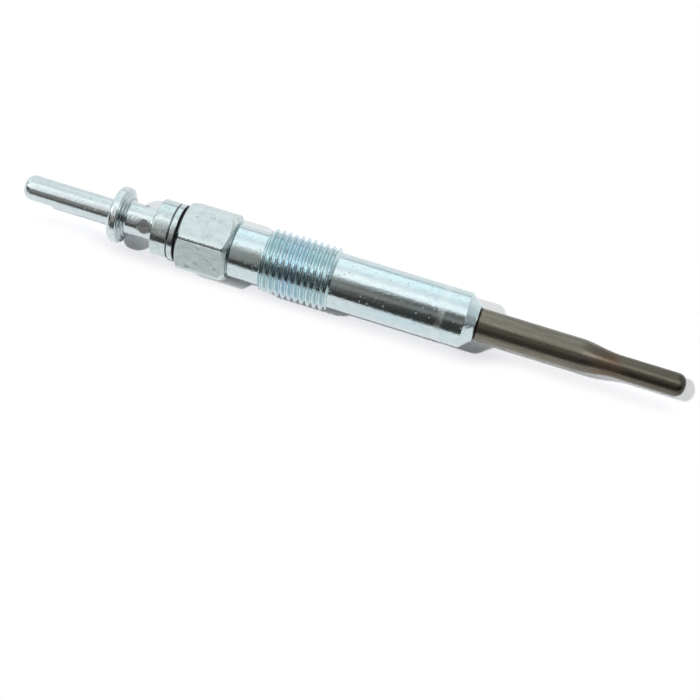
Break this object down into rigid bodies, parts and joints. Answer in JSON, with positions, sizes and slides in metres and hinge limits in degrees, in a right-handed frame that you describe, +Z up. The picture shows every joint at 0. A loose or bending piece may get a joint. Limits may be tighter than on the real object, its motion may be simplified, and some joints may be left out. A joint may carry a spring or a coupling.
{
  "type": "diesel glow plug",
  "caption": "Sheathed-element diesel glow plug with a push-on contact pin, hexagon, fine thread, conical seat and a heater sheath that narrows to a rounded tip.",
  "frame": {"origin": "under the middle of the plug's length, on the surface that the hexagon and the thread rest on", "axes": "+X along the plug's axis towards the heater tip, -X towards the contact pin, +Z up from the hexagon's lower flat"},
  "size_m": [0.105, 0.0116, 0.01],
  "materials": {
    "zinc_plated_cap": "bright zinc plating, blue passivated",
    "zinc_plated_housing": "bright zinc plating, blue passivated",
    "black_polymer": "matt, moulded",
    "seal_rubber": "matt",
    "rod_steel": "drawn",
    "oxidised_alloy": "heat-oxidised, satin",
    "magnesia": "matt, compacted powder",
    "resistance_wire": "drawn"
  },
  "bodies": {
    "root": {"terminal_cap": "zinc_plated_cap", "insulating_ring": "black_polymer", "o_ring": "seal_rubber", "housing": "zinc_plated_housing", "centre_rod": "rod_steel", "sheath_seal": "seal_rubber", "heater_sheath": "oxidised_alloy", "magnesia_fill": "magnesia", "control_coil": "resistance_wire", "heating_coil": "resistance_wire"}
  },
  "joints": []
}
